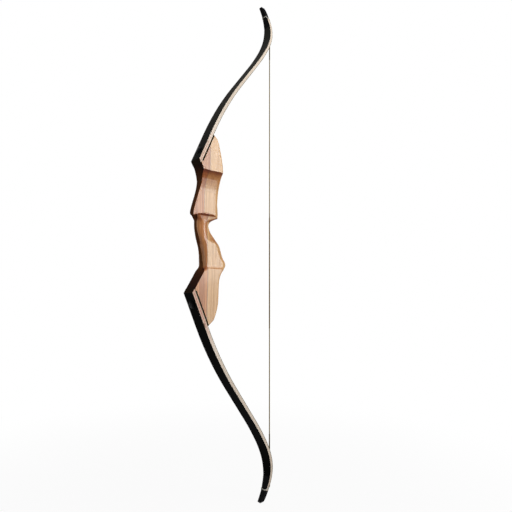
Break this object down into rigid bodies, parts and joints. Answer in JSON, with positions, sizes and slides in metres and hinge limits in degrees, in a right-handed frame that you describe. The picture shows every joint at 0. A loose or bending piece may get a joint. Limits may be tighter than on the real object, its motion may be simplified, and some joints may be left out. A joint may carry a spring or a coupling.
{
  "type": "recurve bow",
  "caption": "Strung take-down recurve archery bow: laminated wood riser with sight window, two laminated limbs on bolted pads, and a served string.",
  "frame": {"origin": "deepest point of the grip's throat, on the bow's centre plane", "axes": "+X towards the string and the archer, +Y to the archer's right, +Z towards the upper tip; the sight window is on the -Y side"},
  "size_m": [0.2783, 0.042, 1.4686],
  "materials": {
    "facing": "gloss varnish over dark brown hardwood",
    "riser_brown": "gloss varnish over reddish brown hardwood",
    "riser_tan": "gloss varnish over light tan hardwood",
    "veneer": "varnished grey-brown veneer edge",
    "glass_black": "glossy black glass-fibre laminate",
    "core_maple": "varnished pale maple edge",
    "stripe_red": "varnished pink-red dyed wood edge",
    "glass_olive": "glossy olive-brown glass-fibre laminate",
    "tip_overlay": "polished black tip overlay",
    "steel": "plain steel",
    "pad_black": "black laminate edge",
    "bolt_black": "black-oxided steel",
    "washer_black": "black coated",
    "brass": "machined brass",
    "string": "waxed twisted olive-tan strands",
    "loop": "grey served thread",
    "serving": "dark brown served thread"
  },
  "bodies": {
    "riser": {"riser_back_facing": "facing", "riser_back_block": "riser_brown", "riser_accent_veneer": "veneer", "riser_belly_block": "riser_tan", "upper_pad_plate": "pad_black", "lower_pad_plate": "pad_black", "upper_limb_bolt": "bolt_black", "upper_bolt_washer": "washer_black", "upper_bolt_insert": "brass", "upper_locating_pin": "steel", "lower_limb_bolt": "bolt_black", "lower_bolt_washer": "washer_black", "lower_bolt_insert": "brass", "lower_locating_pin": "steel"},
    "upper_limb": {"upper_back_glass": "glass_black", "upper_back_core": "core_maple", "upper_centre_stripe": "stripe_red", "upper_belly_core": "core_maple", "upper_belly_glass": "glass_olive", "upper_tip_overlay": "tip_overlay", "upper_string_loop": "loop"},
    "lower_limb": {"lower_back_glass": "glass_black", "lower_back_core": "core_maple", "lower_centre_stripe": "stripe_red", "lower_belly_core": "core_maple", "lower_belly_glass": "glass_olive", "lower_tip_overlay": "tip_overlay", "lower_string_loop": "loop"},
    "string_centre": {"nocking_bowstring": "string", "nocking_serving": "serving"},
    "upper_string": {"upper_bowstring": "string", "upper_end_serving": "serving"},
    "lower_string": {"lower_bowstring": "string", "lower_end_serving": "serving", "centre_serving": "serving"}
  },
  "joints": [
    {"name": "upper_limb_flex", "type": "hinge", "parent": "riser", "child": "upper_limb", "pos_m": [0.0266, 0, 0.3233], "axis": [0, 1, 0], "range_deg": [0, 21.34], "stiffness_Nm_per_rad": 225, "deforming": ["upper_back_glass", "upper_back_core", "upper_centre_stripe", "upper_belly_core", "upper_belly_glass", "upper_tip_overlay", "upper_string_loop"]},
    {"name": "lower_limb_flex", "type": "hinge", "parent": "riser", "child": "lower_limb", "pos_m": [0.0197, 0, -0.3218], "axis": [0, -1, 0], "range_deg": [0, 19.9], "stiffness_Nm_per_rad": 225, "deforming": ["lower_back_glass", "lower_back_core", "lower_centre_stripe", "lower_belly_core", "lower_belly_glass", "lower_tip_overlay", "lower_string_loop"]},
    {"name": "string_draw", "type": "slide", "parent": "riser", "child": "string_centre", "axis": [1, 0, 0], "range_m": [0, 0.4454]},
    {"name": "upper_string_swing", "type": "hinge", "parent": "string_centre", "child": "upper_string", "pos_m": [0.22164, 0, 0.052], "axis": [0, -1, 0], "range_deg": [0, 29.53], "deforming": ["upper_bowstring", "upper_end_serving"]},
    {"name": "lower_string_swing", "type": "hinge", "parent": "string_centre", "child": "lower_string", "pos_m": [0.22164, 0, 0.02], "axis": [0, 1, 0], "range_deg": [0, 27.35], "deforming": ["lower_bowstring", "lower_end_serving", "centre_serving"]}
  ],
  "couplings": [
    {"joint": "lower_limb_flex", "follows": "upper_limb_flex", "ratio": 0.93202},
    {"joint": "string_draw", "follows": "upper_limb_flex", "m_per_rad": 1.1957},
    {"joint": "upper_string_swing", "follows": "upper_limb_flex", "ratio": 1.3831},
    {"joint": "lower_string_swing", "follows": "upper_limb_flex", "ratio": 1.2809}
  ]
}
